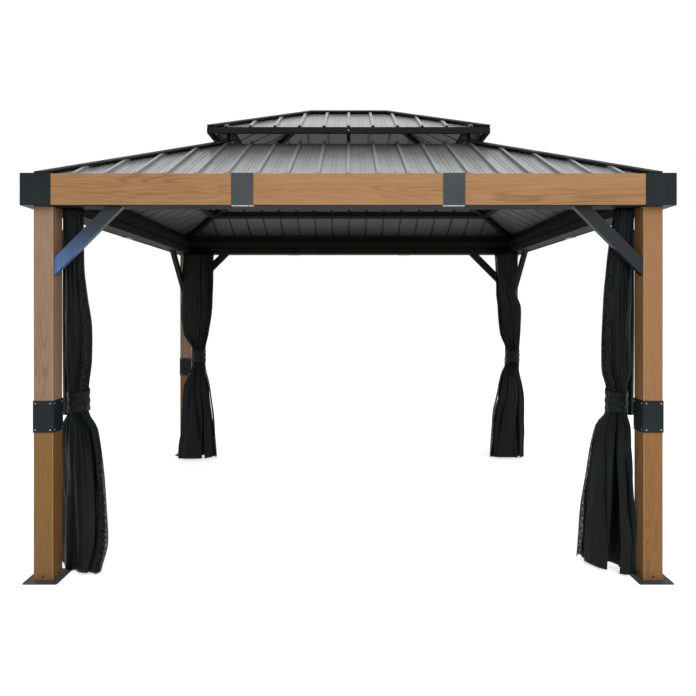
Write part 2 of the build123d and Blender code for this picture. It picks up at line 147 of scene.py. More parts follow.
class Nodes:
    """The shader nodes of a material or of the world, and the one method that adds a node."""

    def __init__(self, tree):
        self.tree = tree

    def put(self, socket, value):
        """A link where the value comes from another node, and otherwise the socket's own value."""
        if isinstance(value, Signal):
            value = value.socket
        if isinstance(value, bpy.types.NodeSocket):
            self.tree.links.new(value, socket)
        else:
            socket.default_value = value

    def node(self, kind, settings, sockets):
        """A shader node: its settings first, then the values or links of its sockets."""
        made = self.tree.nodes.new("ShaderNode" + kind)
        for setting, value in settings.items():
            setattr(made, setting, value)
        for socket, value in sockets.items():
            self.put(made.inputs[socket], value)
        return made

    def place(self, stretch=(1, 1, 1), source="Object", shift=(0, 0, 0)):
        """Coordinates on the object, or on its UV map, stretched and then shifted."""
        texture = self.node("TexCoord", {}, {})
        mapped = self.node(
            "Mapping",
            {},
            {"Vector": texture.outputs[source], "Scale": stretch, "Location": shift},
        )
        return mapped.outputs[0]

    def parts(self, vector):
        """The three numbers of a vector."""
        split = self.node("SeparateXYZ", {}, {0: vector})
        return [Signal(self, socket) for socket in split.outputs]

    def noise(self, vector, scale=1.0, detail=2.0, roughness=0.5, distortion=0.0):
        made = self.node(
            "TexNoise",
            {},
            {
                "Vector": vector,
                "Scale": scale,
                "Detail": detail,
                "Roughness": roughness,
                "Distortion": distortion,
            },
        )
        return Signal(self, made.outputs["Fac"])

    def spots(self, vector, scale=1.0, randomness=1.0):
        """The distance to the nearest of many scattered points."""
        made = self.node(
            "TexVoronoi", {}, {"Vector": vector, "Scale": scale, "Randomness": randomness}
        )
        return Signal(self, made.outputs["Distance"])

    def facing(self):
        """The three numbers of the surface's own direction."""
        return self.parts(self.node("NewGeometry", {}, {}).outputs["Normal"])

    def blend(self, factor, first, second):
        """One colour turning into another."""
        made = self.node("Mix", {"data_type": "RGBA"}, {0: factor, 6: first, 7: second})
        return made.outputs[2]

    def seen(self):
        """1 where the camera, a reflection or glass looks, and 0 for light that falls on things."""
        path = self.node("LightPath", {}, {})
        words = ("Is Camera Ray", "Is Glossy Ray", "Is Transmission Ray")
        camera_ray, glossy_ray, clear_ray = [Signal(self, path.outputs[word]) for word in words]
        return (camera_ray + glossy_ray + clear_ray).smaller(1)


class Finish(Nodes):
    """A material being made: its nodes and its shader."""

    def __init__(self, name, **constants):
        self.material = bpy.data.materials.new(name)
        self.material.use_nodes = True
        super().__init__(self.material.node_tree)
        self.shader = self.tree.nodes["Principled BSDF"]
        for socket, value in constants.items():
            self.shader.inputs[socket.replace("_", " ")].default_value = value

    def shine(self, **values):
        for socket, value in values.items():
            self.put(self.shader.inputs[socket.replace("_", " ")], value)

    def bump(self, height, distance, strength=1.0):
        made = self.node(
            "Bump", {}, {"Height": height, "Distance": distance, "Strength": strength}
        )
        self.put(self.shader.inputs["Normal"], made.outputs[0])


def shade(red, green, blue):
    """A colour from the 0 to 255 numbers of a screen."""
    screen = np.array([red, green, blue]) / 255
    linear = np.where(screen <= 0.04045, screen / 12.92, ((screen + 0.055) / 1.055) ** 2.4)
    return (*linear.tolist(), 1.0)


def wood_grain(name, along, light, middle, dark, painted_light_below_sleeve=None):
    """Wood-grain foil on aluminium: rings, pores along the grain and knots.

    The rings are a sine of a noise that is stretched along the grain, so they are its contour lines.
    A post's foil gets darker, yellower tones below its sleeve, which are painted light, and a pale
    painted highlight along its upright edges. A fascia's lower face is painted dark olive, as painted
    shade.
    """
    highlight_pale, underside_shade = shade(206, 176, 138), shade(32, 32, 22)
    finish = Finish(name, IOR=1.45, Specular_IOR_Level=0.35)

    def stretch(across, lengthways):
        return tuple(lengthways if axis == along else across for axis in range(3))

    knots = finish.spots(finish.place(stretch(3.4, 0.9)), randomness=0.9)
    knot = 1 - knots.between(0.03, 0.34)
    heart = (1 - knots.between(0.01, 0.05)) * 0.55
    figure = finish.noise(finish.place(stretch(9.5, 0.75)), detail=1.2, distortion=0.2)
    wander = finish.noise(finish.place(stretch(60, 4)), detail=2)
    rings = ((figure * 150 + knot * 9 + wander * 2.6).sine() * 0.5 + 0.5) ** 3
    streaks = finish.noise(finish.place(stretch(330, 4.5)), detail=3, roughness=0.6)
    pores = finish.noise(finish.place(stretch(700, 20)), detail=2).between(0.60, 0.72)
    boards = finish.noise(finish.place(stretch(7, 0.8), shift=(3, 1, 2)), detail=2)
    lines = (rings * (0.12 + boards.between(0.42, 0.66) * 0.88)).larger(heart)

    stronger = streaks.between(0.30, 0.70)
    tone = finish.blend(stronger, light, middle)
    if painted_light_below_sleeve:
        x, y, height = finish.parts(finish.place())
        # painted light: darker, yellower tones below the sleeve, blended in at the sleeve's middle
        over = height.between(sleeve_middle - 0.03, sleeve_middle + 0.03)
        tone = finish.blend(over, finish.blend(stronger, *painted_light_below_sleeve), tone)
    colour = finish.blend(lines * 0.46, tone, dark)
    colour = finish.blend(pores * 0.20, colour, dark)
    colour = finish.blend(boards.between(0.30, 0.75) * 0.14, colour, dark)
    if painted_light_below_sleeve:
        from_middle = (x.size() - post_x).size().smaller((y.size() - post_y).size())
        # painted highlight: a pale line within 3.5 mm of each upright edge of a post
        edge_highlight = from_middle.between(post_half - 0.0035, post_half - 0.0015)
        colour = finish.blend(edge_highlight * 0.35, colour, highlight_pale)
        foil = 1.0
    else:
        # painted shade: the faces that face down are painted dark olive instead of wood
        foil = finish.facing()[2].between(-0.9, -0.4)
        colour = finish.blend(foil, underside_shade, colour)
    finish.shine(
        Base_Color=colour,
        Roughness=0.90 - foil * 0.44 + streaks * 0.10 + rings * 0.05 - pores * 0.05,
    )
    finish.bump(rings * -0.3 + streaks * 0.5 - pores * 0.7, 0.0003, 0.5)
    return finish.material


orange_peel = 0.00012


def powder_coat(name, colour, pale, rough=0.42, level=0.2):
    """Charcoal powder coat: fine orange peel, a faint cloudiness, and dust on what faces up."""
    dusty = shade(118, 116, 110)
    finish = Finish(name, IOR=1.5, Specular_IOR_Level=level)
    peel = finish.noise(finish.place(), scale=620, detail=2)
    cloud = finish.noise(finish.place(), scale=5, detail=3, roughness=0.6)
    rubs = finish.noise(finish.place((3, 3, 60)), scale=1.4, detail=4, roughness=0.7)
    dust = finish.facing()[2].between(0.3, 1.0) * cloud.between(0.35, 0.75)
    tone = finish.blend(cloud.between(0.3, 0.7) * 0.5, colour, pale)
    tone = finish.blend(dust * 0.22, tone, dusty)
    finish.shine(Base_Color=tone, Roughness=rough + cloud * 0.08 + rubs.between(0.62, 0.74) * 0.07)
    finish.bump(peel, orange_peel, 0.6)
    return finish.material


def painted_sky_reflection_coat(name):
    """Charcoal coat with a painted reflection of blue sky: strongest at the brace's foot, and gone at
    its top.
    """
    finish = Finish(name, IOR=1.5, Specular_IOR_Level=0.25)
    peel = finish.noise(finish.place(), scale=620, detail=2)
    streak = finish.noise(finish.place((40, 40, 3)), detail=3, roughness=0.6)
    strong_z, gone_z = 1.78, 2.08
    height = finish.parts(finish.place())[2] + streak * 0.05
    # painted reflection: a blue sky tint blended into the base colour, fading out up the brace
    blue = finish.blend(streak.between(0.3, 0.7), shade(62, 88, 130), shade(76, 106, 150))
    tone = finish.blend(height.between(strong_z, gone_z), blue, shade(38, 46, 47))
    finish.shine(Base_Color=tone, Roughness=0.32 + streak * 0.12)
    finish.bump(peel, orange_peel, 0.6)
    return finish.material


def roof_coat(name, eave, run, under_dark, under_pale):
    """Painted roof sheet: a soft sheen above, paler towards the eave, and a dull backing coat painted
    dark as painted shade.

    The height over the eave, as a share of the rise over this run, sets the painted light: pale near
    the eave as a painted reflection, and dark higher up as painted shade.
    """
    finish = Finish(name, IOR=1.85)
    above = finish.facing()[2].between(-0.05, 0.05)
    cloud = finish.noise(finish.place(), scale=3.2, detail=4, roughness=0.62)
    speckle = finish.noise(finish.place(), scale=420, detail=2)
    dent = finish.noise(finish.place(), scale=9, detail=2)
    risen = (finish.parts(finish.place())[2] - eave) / (run * roof_slope)
    patch = cloud.between(0.32, 0.72)
    # painted light: dark higher up stands in for shade, pale near the eave for a reflection of the
    # sky
    upslope_dark = finish.blend(patch, shade(48, 49, 51), shade(70, 71, 73))
    eave_reflection_pale = finish.blend(patch, shade(106, 107, 108), shade(126, 127, 127))
    top = finish.blend((risen + cloud * 0.25).between(0.15, 1.05), eave_reflection_pale, upslope_dark)
    # painted shade: the faces that face down get the dark under colours
    under = finish.blend(cloud.between(0.3, 0.7), under_dark, under_pale)
    finish.shine(
        Base_Color=finish.blend(above, under, top),
        Roughness=0.22 + cloud * 0.10 + risen.between(0.2, 1.1) * 0.18 + (1 - above) * 0.30,
    )
    finish.bump(speckle * 0.03 + dent * 0.9, 0.0016, 0.35)
    return finish.material


def bare_metal(name, colour, rough):
    """Plated screw metal, faintly stained."""
    finish = Finish(name, Metallic=0.85)
    stain = finish.noise(finish.place(), scale=260, detail=3)
    finish.shine(
        Base_Color=finish.blend(stain.between(0.35, 0.75), colour, shade(92, 92, 90)),
        Roughness=rough + stain * 0.12,
    )
    finish.bump(stain, 0.0001, 0.3)
    return finish.material


def curtain_cloth(name):
    """Black polyester: a fine plain weave, a faint green-blue tone and pressed creases."""
    finish = Finish(name, Specular_IOR_Level=0.13)
    across, along, _ = finish.parts(finish.place(source="UV"))
    thread_turn = 3900  # radians for each metre of cloth, so a thread every 0.8 mm
    weave = (across * thread_turn).sine() * (along * thread_turn).sine()
    slub = finish.noise(finish.place((90, 600, 1), source="UV"), detail=3)
    crease = finish.noise(finish.place((11, 5, 1), source="UV"), detail=4, roughness=0.55)
    pressed = finish.noise(finish.place((3, 4, 1), source="UV", shift=(2, 5, 0)), detail=2)
    tone = finish.blend(slub.between(0.35, 0.7), shade(7, 10, 10), shade(13, 18, 18))
    tone = finish.blend(pressed.between(0.45, 0.75) * 0.5, tone, shade(20, 28, 31))
    finish.shine(Base_Color=tone, Roughness=0.40 + slub * 0.14)
    finish.bump(weave * 0.04 + slub * 0.12 + crease * 3.0, 0.003, 0.5)
    return finish.material


def netting(name):
    """Black mosquito netting: threads 1 mm apart both ways, with clear holes between them."""
    finish = Finish(name, Specular_IOR_Level=0.1)
    across, along, _ = finish.parts(finish.place(source="UV"))
    half_turn = np.pi / 0.001
    thread = (across * half_turn).sine().size().larger((along * half_turn).sine().size())
    bunched = finish.noise(finish.place((110, 50, 1), source="UV"), detail=3, roughness=0.7)
    layers = bunched.between(0.30, 0.62)
    finish.shine(
        Base_Color=finish.blend(layers, shade(44, 48, 48), shade(12, 14, 14)),
        Roughness=0.75 + bunched * 0.1,
        Alpha=thread.between(0.90, 0.94) * 0.30 + layers * 0.35 + 0.40,
    )
    return finish.material


def piece_from(name, points, faces, material, smooth=True):
    """A finished piece at the origin, riding on the gazebo, from its points and its faces."""
    mesh = bpy.data.meshes.new(name)
    mesh.from_pydata(points.reshape(-1, 3), [], faces)
    mesh.polygons.foreach_set("use_smooth", np.full(len(mesh.polygons), smooth))
    mesh.materials.append(material)
    mesh.update()
    piece = bpy.data.objects.new(name, mesh)
    scene.collection.objects.link(piece)
    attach(piece, "root")
    return piece


def grid_faces(rows, columns, closed=False, flipped=False):
    """The four-sided faces of a grid of points. A closed grid's last column joins its first."""
    across = columns if closed else columns - 1
    row = np.arange(rows - 1)[:, None] * columns
    here = np.arange(across)[None, :]
    beside = (here + 1) % columns
    faces = np.stack(
        [row + here, row + beside, row + columns + beside, row + columns + here], axis=-1
    )
    faces = faces.reshape(-1, 4)
    return faces[:, ::-1] if flipped else faces


def screws(name, places, directions, material, radius=0.0045, height=0.0022, sides=10):
    """Pan-head screws: a rounded rim and a low dome, sunk a little into the face that they hold.

    One head is its profile of (radius, height) turned round an axis: a ring of points for each
    radius, and a single point at each pole. Each copy's axis is its own direction.
    """
    sunk = -0.0008
    profile = [
        (radius * 0.55, height * 0.97),
        (radius * 0.88, height * 0.70),
        (radius, height * 0.25),
        (radius, sunk),
    ]
    places = np.asarray(places, float).reshape(-1, 3)
    axes = np.broadcast_to(np.asarray(directions, float), places.shape)
    axes = axes / np.linalg.norm(axes, axis=1, keepdims=True)
    aside = np.where(np.abs(axes[:, 2:]) < 0.9, [[0.0, 0.0, 1.0]], [[1.0, 0.0, 0.0]])
    first = np.cross(aside, axes)
    first = first / np.linalg.norm(first, axis=1, keepdims=True)
    second = np.cross(axes, first)
    angle = np.arange(sides) * 2 * np.pi / sides
    reach, risen = np.array(profile).T
    u = np.append((reach[:, None] * np.cos(angle)).ravel(), [0, 0])
    v = np.append((reach[:, None] * np.sin(angle)).ravel(), [0, 0])
    w = np.append(np.repeat(risen, sides), [height, sunk])
    points = (
        places[:, None, :]
        + u[None, :, None] * first[:, None, :]
        + v[None, :, None] * second[:, None, :]
        + w[None, :, None] * axes[:, None, :]
    )
    top_pole = len(profile) * sides
    bottom_pole = top_pole + 1
    here = np.arange(sides)
    beside = (here + 1) % sides
    last = top_pole - sides
    around = grid_faces(len(profile), sides, closed=True, flipped=True)
    top_fan = np.stack([here, beside, np.full(sides, top_pole)], axis=-1)
    bottom_fan = np.stack([last + beside, last + here, np.full(sides, bottom_pole)], axis=-1)
    starts = np.arange(len(places))[:, None, None] * (bottom_pole + 1)
    faces = []
    for group in (around, top_fan, bottom_fan):
        faces += (starts + group).reshape(-1, group.shape[1]).tolist()
    return piece_from(name, points, faces, material)


def strips(name, boxes, material):
    """Small bars between two corners, with rounded edges.

    The section is a circle whose sine and cosine are raised to a low power, which squares it off. It
    is carried along the longest side, a little smaller at both ends, which are closed.
    """
    boxes = np.asarray(boxes, float)
    low, high = boxes[:, :3], boxes[:, 3:]
    sides, rings = 16, np.array([-1, -0.92, 0.92, 1])
    shrink = np.array([0.9, 1, 1, 0.9])
    angle = (np.arange(sides) + 0.5) * 2 * np.pi / sides
    circle = np.array([np.cos(angle), np.sin(angle)])
    square = np.sign(circle) * np.abs(circle) ** 0.25
    section = shrink[:, None, None] * square.T[None]
    along = np.broadcast_to(rings[:, None, None], (len(rings), sides, 1))
    unit = np.concatenate([along, section], axis=-1)
    middle, half = (low + high) / 2, (high - low) / 2
    longest = np.argmax(half, axis=1)
    order = np.stack([np.roll([0, 1, 2], turn) for turn in longest])
    turned = np.stack([unit[..., row] for row in order])
    points = middle[:, None, None, :] + half[:, None, None, :] * turned
    starts = len(rings) * sides * np.arange(len(boxes))
    around = grid_faces(len(rings), sides, closed=True)
    faces = (starts[:, None, None] + around).reshape(-1, 4).tolist()
    faces += (starts[:, None] + np.arange(sides)[::-1]).tolist()
    faces += (starts[:, None] + (len(rings) - 1) * sides + np.arange(sides)).tolist()
    return piece_from(name, points, faces, material, smooth=False)


def eased(height, stations, zero=0):
    """Station values at any height, by a cubic between each two stations that never overshoots.

    The cubic's slope at a station is the harmonic mean of the slopes on both sides, and level where
    they turn. The stations' own heights are measured up from zero.
    """
    table = np.asarray(stations, float) + [zero, *[0] * (len(stations[0]) - 1)]
    table = table[np.argsort(table[:, 0])]
    at, values = table[:, 0], table[:, 1:]
    step = np.diff(at)[:, None]
    slope = np.diff(values, axis=0) / step
    product = slope[:-1] * slope[1:]
    total = slope[:-1] + slope[1:]
    inner = np.where(product > 0, 2 * product / np.where(total == 0, 1, total), 0)
    bend = np.vstack([slope[:1], inner, slope[-1:]])
    index = np.clip(np.searchsorted(at, height) - 1, 0, len(at) - 2)
    run = step[index, 0]
    part = ((height - at[index]) / run)[:, None]
    h, square, cube = run[:, None], part**2, part**3
    return (
        values[index] * (2 * cube - 3 * square + 1)
        + bend[index] * h * (cube - 2 * square + part)
        + values[index + 1] * (3 * square - 2 * cube)
        + bend[index + 1] * h * (cube - square)
    )


# Materials
fascia_tones = (shade(155, 117, 79), shade(141, 104, 68), shade(92, 60, 36))
front_wood = wood_grain("wood_grain_across", 0, *fascia_tones)
side_wood = wood_grain("wood_grain_deep", 1, *fascia_tones)
# The left and right posts are one foil; their tones differ as painted light, cooler on the left and
# warmer on the right.
left_post_wood = wood_grain(
    "wood_grain_left_posts",
    2,
    shade(148, 119, 98),
    shade(136, 106, 84),
    shade(94, 68, 48),
    painted_light_below_sleeve=(shade(129, 95, 50), shade(112, 81, 40)),
)
right_post_wood = wood_grain(
    "wood_grain_right_posts",
    2,
    shade(145, 107, 71),
    shade(133, 96, 61),
    shade(90, 60, 37),
    painted_light_below_sleeve=(shade(139, 99, 54), shade(123, 86, 43)),
)
cover_coat = powder_coat("charcoal_covers", shade(25, 31, 33), shade(34, 40, 43), level=0.12)
joint_coat = powder_coat(
    "charcoal_joint_covers", shade(50, 53, 56), shade(64, 67, 70), rough=0.34, level=0.3
)
# painted highlight: near-white for the lit lower edges of the joint covers
lip_highlight_coat = powder_coat(
    "lips_painted_highlight", shade(205, 206, 204), shade(226, 227, 225), rough=0.35, level=0.5
)
# The frame's olive cast on its dark charcoal is painted warm light.
frame_coat = powder_coat(
    "charcoal_frame", shade(22, 23, 19), shade(34, 34, 27), rough=0.6, level=0.08
)
# The front-left brace gets a painted reflection of blue sky in its colour.
brace_sky_reflection = painted_sky_reflection_coat("charcoal_brace_painted_sky_reflection")
brace_coat = powder_coat("charcoal_braces", shade(32, 35, 37), shade(40, 44, 47), rough=0.36)
# The back braces are the front braces' coat painted darker and olive, as painted shade.
shaded_back_brace = powder_coat(
    "charcoal_back_braces_painted_shade", shade(30, 31, 25), shade(40, 41, 34), rough=0.5, level=0.1
)
plate_coat = powder_coat("charcoal_plates", shade(48, 51, 51), shade(60, 63, 64), rough=0.5)
upper_fade_run = 1.6
sheet_coat = roof_coat(
    "painted_lower_sheets", eave_z, vent_run, shade(24, 28, 27), shade(36, 41, 40)
)
# The upper tier's underside colours are darker still, as painted shade.
upper_coat = roof_coat(
    "painted_upper_sheets", upper_eave_z, upper_fade_run, shade(9, 10, 10), shade(16, 18, 17)
)
cap_coat = powder_coat(
    "charcoal_caps", shade(20, 21, 22), shade(29, 30, 31), rough=0.55, level=0.12
)
cloth = curtain_cloth("black_cloth")
net = netting("black_netting")
screw_metal = bare_metal("plated_screws", shade(190, 190, 186), 0.35)
screw_paint = powder_coat(
    "painted_roof_screws", shade(84, 85, 86), shade(104, 105, 106), rough=0.35, level=0.5
)
dark_screw = powder_coat("dark_screws", shade(40, 38, 36), shade(52, 50, 47), rough=0.4)

# The finish of each CAD node, by the longest of these that its name starts with
finish_of = {
    "post_sleeves": cover_coat,
    "post_front_left": left_post_wood,
    "post_back_left": left_post_wood,
    "post_front_right": right_post_wood,
    "post_back_right": right_post_wood,
    "base_plate_": plate_coat,
    "knee_braces_": brace_coat,
    "knee_braces_front_left": brace_sky_reflection,
    "knee_braces_back_left": shaded_back_brace,
    "knee_braces_back_right": shaded_back_brace,
    "beam_": frame_coat,
    "fascia_joint_covers": joint_coat,
    "fascia_front": front_wood,
    "fascia_back": front_wood,
    "fascia_left": side_wood,
    "fascia_right": side_wood,
    "corner_cover_": cover_coat,
    "lower_roof_": sheet_coat,
    "upper_roof_": upper_coat,
    "lower_hip_caps": cap_coat,
    "upper_hip_caps": cap_coat,
    "ridge_cap": cap_coat,
    "upper_fascia": cap_coat,
    "hip_rafters": frame_coat,
    "mid_purlins": frame_coat,
    "vent_curb": frame_coat,
    "upper_rafters": frame_coat,
    "ridge_beam": frame_coat,
    "upper_purlins": frame_coat,
    "vent_struts": frame_coat,
    "curtain_": cloth,
}
for node_name, node in nodes.items():
    match = max((key for key in finish_of if node_name.startswith(key)), key=len)
    node.data.materials.clear()
    node.data.materials.append(finish_of[match])


# Curtains. The tie's height comes first. Each station down the gather is its height, its inset from
# the post's inner corner in x and in y, its half length and half width, and its turn in degrees.
GATHERS = {
    "front_left": (
        1.000,
        [
            (2.1236, 0.070, -0.018, 0.065, 0.039, 10),
            (1.8000, 0.068, 0.008, 0.063, 0.039, 20),
            (1.6200, 0.070, 0.022, 0.079, 0.044, 24),
            (1.4200, 0.074, 0.040, 0.104, 0.051, 26),
            (1.2500, 0.073, 0.046, 0.097, 0.054, 26),
            (1.0615, 0.070, 0.053, 0.060, 0.059, 26),
            (0.9385, 0.070, 0.053, 0.060, 0.059, 28),
            (0.8420, 0.080, 0.047, 0.144, 0.061, 28),
            (0.6000, 0.092, 0.042, 0.184, 0.063, 28),
            (0.2060, 0.103, 0.036, 0.206, 0.065, 28),
            (0.0120, 0.095, 0.036, 0.158, 0.059, 28),
        ],
    ),
    "front_right": (
        1.000,
        [
            (2.1236, 0.066, -0.018, 0.061, 0.039, 10),
            (1.7700, 0.089, 0.004, 0.087, 0.043, 20),
            (1.6000, 0.086, 0.026, 0.103, 0.047, 24),
            (1.3600, 0.086, 0.040, 0.113, 0.051, 26),
            (1.1900, 0.084, 0.046, 0.111, 0.055, 26),
            (1.0615, 0.080, 0.053, 0.060, 0.059, 26),
            (0.9385, 0.080, 0.053, 0.060, 0.059, -50),
            (0.8420, 0.095, 0.064, 0.107, 0.061, -50),
            (0.6000, 0.113, 0.070, 0.139, 0.065, -50),
            (0.1940, 0.132, 0.066, 0.177, 0.067, -50),
            (0.0120, 0.140, 0.068, 0.178, 0.067, -50),
        ],
    ),
    "back_right": (
        1.050,
        [
            (2.1236, 0.044, 0.118, 0.137, 0.049, 45),
            (1.7200, 0.042, 0.096, 0.109, 0.049, 35),
            (1.5600, 0.002, 0.072, 0.121, 0.049, 20),
            (1.3000, -0.005, 0.076, 0.107, 0.054, 20),
            (1.1115, -0.029, 0.078, 0.068, 0.067, 20),
            (0.9885, -0.029, 0.078, 0.068, 0.067, 0),
            (0.8770, -0.004, 0.086, 0.095, 0.065, 0),
            (0.7300, -0.003, 0.092, 0.131, 0.067, 0),
            (0.4300, 0.020, 0.096, 0.169, 0.067, 0),
            (0.0120, 0.033, 0.098, 0.182, 0.067, 0),
        ],
    ),
    "back_left": (
        1.050,
        [
            (2.1236, 0.093, 0.057, 0.165, 0.044, 4),
            (1.6200, 0.084, 0.060, 0.165, 0.049, 4),
            (1.3000, 0.074, 0.068, 0.139, 0.055, 4),
            (1.1115, 0.108, 0.076, 0.068, 0.067, 4),
            (0.9885, 0.108, 0.076, 0.068, 0.067, 8),
            (0.7300, 0.096, 0.105, 0.135, 0.074, 8),
            (0.4260, 0.106, 0.122, 0.169, 0.079, 12),
            (0.0120, 0.104, 0.130, 0.202, 0.079, 12),
        ],
    ),
}
# How deep the creases and the fine pleats go, by height above the tie, as shares of the gather's size
CREASE_DEPTH = [
    (-1.1, 0.42),
    (-0.5, 0.46),
    (-0.12, 0.22),
    (0.0, 0.10),
    (0.12, 0.20),
    (0.5, 0.34),
    (1.2, 0.40),
]
PLEAT_DEPTH = [
    (-1.1, 0.012),
    (-0.4, 0.02),
    (-0.1, 0.07),
    (0.1, 0.07),
    (0.5, 0.025),
    (1.0, 0.03),
    (1.2, 0.06),
]
# Where the free edges meet, in radians round the gather, and how far they stand apart at the hem
OPENING = {
    "front_left": (-2.7, 0.10),
    "front_right": (-2.05, 0.42),
    "back_right": (2.2, 0.1),
    "back_left": (1.2, 0.1),
}
band_half = 0.0605
cloth_thickness, net_thickness, band_thickness = 0.0009, 0.0005, 0.0016


def from_corner(corner, inset_x, inset_y, height):
    """Points at these insets from the inner corner of a post, and at these heights, as one array."""
    x_sign, y_sign = CORNERS[corner]
    spots = (x_sign * (inner_x - inset_x), y_sign * (inner_y - inset_y), height)
    return np.stack(np.broadcast_arrays(*spots), axis=-1)


def mirrored(corner):
    """True where the corner's two signs turn the faces of a grid over."""
    x_sign, y_sign = CORNERS[corner]
    return x_sign * y_sign < 0


def gathered(corner, rows, columns, seed, only_net=False):
    """Cloth gathered round its tie, as a grid of points from the top down and once round.

    A row is an oval, with the gather's half length and half width, times a share that is 1 less a
    narrow dip at each crease, a fine pleat wave and soft crumples. Creases wander with height and
    meet at the tie. The cloth goes once round from one free edge to the other, which part below the
    tie. The netting is a smooth strip at the oval's far end from the post, just outside the cloth.
    """
    tie, gather = GATHERS[corner]
    draw = np.random.default_rng(seed)
    height = np.linspace(gather[0][0], gather[-1][0], rows)
    inset_x, inset_y, long_half, short_half, turn = eased(height, gather).T[:, :, None]
    above = (height - tie)[:, None]
    across = np.linspace(0, 1, columns)[None, :]
    if only_net:
        strip = 0.42 + 0.28 * np.clip(above / 0.3 + 0.5, 0, 1)
        angle = strip * (2 * across - 1)
    else:
        start, hem_gap = OPENING[corner]
        gap = 0.04 + hem_gap * np.clip(-above - band_half, 0, 1) ** 0.8
        angle = start + gap / 2 + (2 * np.pi - gap) * across

    creases = 9
    spacing = 2 * np.pi / creases
    centre = spacing * (np.arange(creases) + draw.uniform(-0.32, 0.32, creases))
    width = draw.uniform(0.07, 0.17, creases)
    share = draw.uniform(0.35, 1.0, creases)
    wander = draw.uniform(-0.30, 0.30, creases)
    phase = draw.uniform(0, 2 * np.pi, creases + 6)
    dips = 0
    for k in range(creases):
        line = centre[k] + wander[k] * np.sin(3.1 * above + phase[k])
        fade = 0.6 + 0.4 * np.sin(4.3 * above + 2 * phase[k])
        dips = dips + share[k] * fade * np.exp((np.cos(angle - line) - 1) / width[k] ** 2)
    pleats = 1 + np.sin(23 * angle + 0.8 * np.sin(3 * angle + phase[-1]))
    slant = np.sin(3 * angle + 7 * above + phase[-2]) * np.sin(11 * above + phase[-3])
    pull = np.sin(5 * angle - 15 * above + phase[-4]) * np.exp(-((above / 0.28) ** 2))
    crumple = 1 - np.abs(np.sin(2 * angle + 8.5 * above + phase[-5]))
    if only_net:
        size = 0.985 + 0.015 * slant
    else:
        folds = eased(height, CREASE_DEPTH, tie) * dips + eased(height, PLEAT_DEPTH, tie) * pleats
        size = np.clip(1 - folds + 0.035 * slant + 0.03 * pull - 0.03 * crumple, 0.3, 1.0)
        room_for_net = 1 - 0.09 * np.exp((np.cos(angle) - 1) / 0.30)
        size = size * room_for_net

    run = long_half * size * np.cos(angle)
    swing = short_half * size * np.sin(angle)
    turn = np.radians(turn)
    from_x = inset_x + run * np.cos(turn) + swing * np.sin(turn)
    from_y = inset_y - run * np.sin(turn) + swing * np.cos(turn)
    hem = 0.003 * (1 + np.sin(3 * angle + phase[-6])) * np.clip(-above / tie, 0, 1) ** 8
    return from_corner(corner, from_x, from_y, height[:, None] + hem)


def map_flat(piece, across, down):
    """The UV map of a piece of cloth: its points' places across and down, laid flat, in metres."""
    flat = np.stack(np.broadcast_arrays(across[None, :], down[:, None]), axis=-1).reshape(-1, 2)
    corner_of = np.empty(len(piece.data.loops), dtype=np.int32)
    piece.data.loops.foreach_get("vertex_index", corner_of)
    piece.data.uv_layers.new(name="flat").data.foreach_set("uv", flat[corner_of].ravel())


def thicken(piece, thickness, offset=0):
    """Cloth of this thickness: half to each side of its surface, or all within it at offset -1."""
    shell = piece.modifiers.new("thickness", "SOLIDIFY")
    shell.thickness = thickness
    shell.offset = offset


def cloth_piece(name, corner, points, material, thickness):
    """The grid of points of a cloth as a piece, mapped by its mean lengths across and down."""
    rows, columns = points.shape[:2]
    faces = grid_faces(rows, columns, flipped=mirrored(corner))
    piece = piece_from(f"{name}_{corner}", points, faces, material)
    step = np.linalg.norm(np.diff(points, axis=1), axis=-1).mean(axis=0)
    drop = np.linalg.norm(np.diff(points, axis=0), axis=-1).mean(axis=1)
    map_flat(piece, np.append(0, np.cumsum(step)), np.append(0, np.cumsum(drop)))
    thicken(piece, thickness)
    return piece


def loose_edge(corner):
    """The curtain's edge that hangs loose behind its gather, towards the post, in shallow waves."""
    rows, columns = 60, 40
    low_z, behind, width = 0.90, 0.117, 0.090
    height = np.linspace(headroom - 0.001, low_z, rows)[:, None]
    across = np.linspace(0, 1, columns)[None, :]
    from_x = -0.056 + width * across + 0.003 * np.sin(3.3 * height)
    from_y = behind + 0.0045 * np.sin(2 * np.pi * 2.3 * across + 1.7 * height)
    return from_corner(corner, from_x, from_y, height)


def hanging_tapes(corner, insets, reach):
    """Tapes from the top of the gather up to the gliders in the track.

    Each is a ribbon whose height and depth follow one smooth rise and fall, so it goes from the
    cloth up to the slot and back down behind itself.
    """
    steps, half_tape = 24, 0.005
    sewn_z, slot_y = headroom - 0.010, 0.004
    turn = np.linspace(0, 2 * np.pi, steps)
    share = 0.5 - 0.5 * np.cos(turn)
    apart = 0.0025 * np.sin(turn) * (1 - 0.4 * share)
    from_y = reach + (slot_y - reach) * share**1.4 + apart
    height = sewn_z + (track_z - sewn_z) * share
    from_x = np.asarray(insets)[:, None, None] + half_tape * np.array([-1, 1])[None, None, :]
    points = from_corner(corner, from_x, from_y[None, :, None], height[None, :, None])
    one = grid_faces(steps, 2)
    faces = np.concatenate([one + 2 * steps * number for number in range(len(insets))])
    piece = piece_from(f"hanging_tapes_{corner}", points, faces, cloth)
    thicken(piece, cloth_thickness)
    return piece


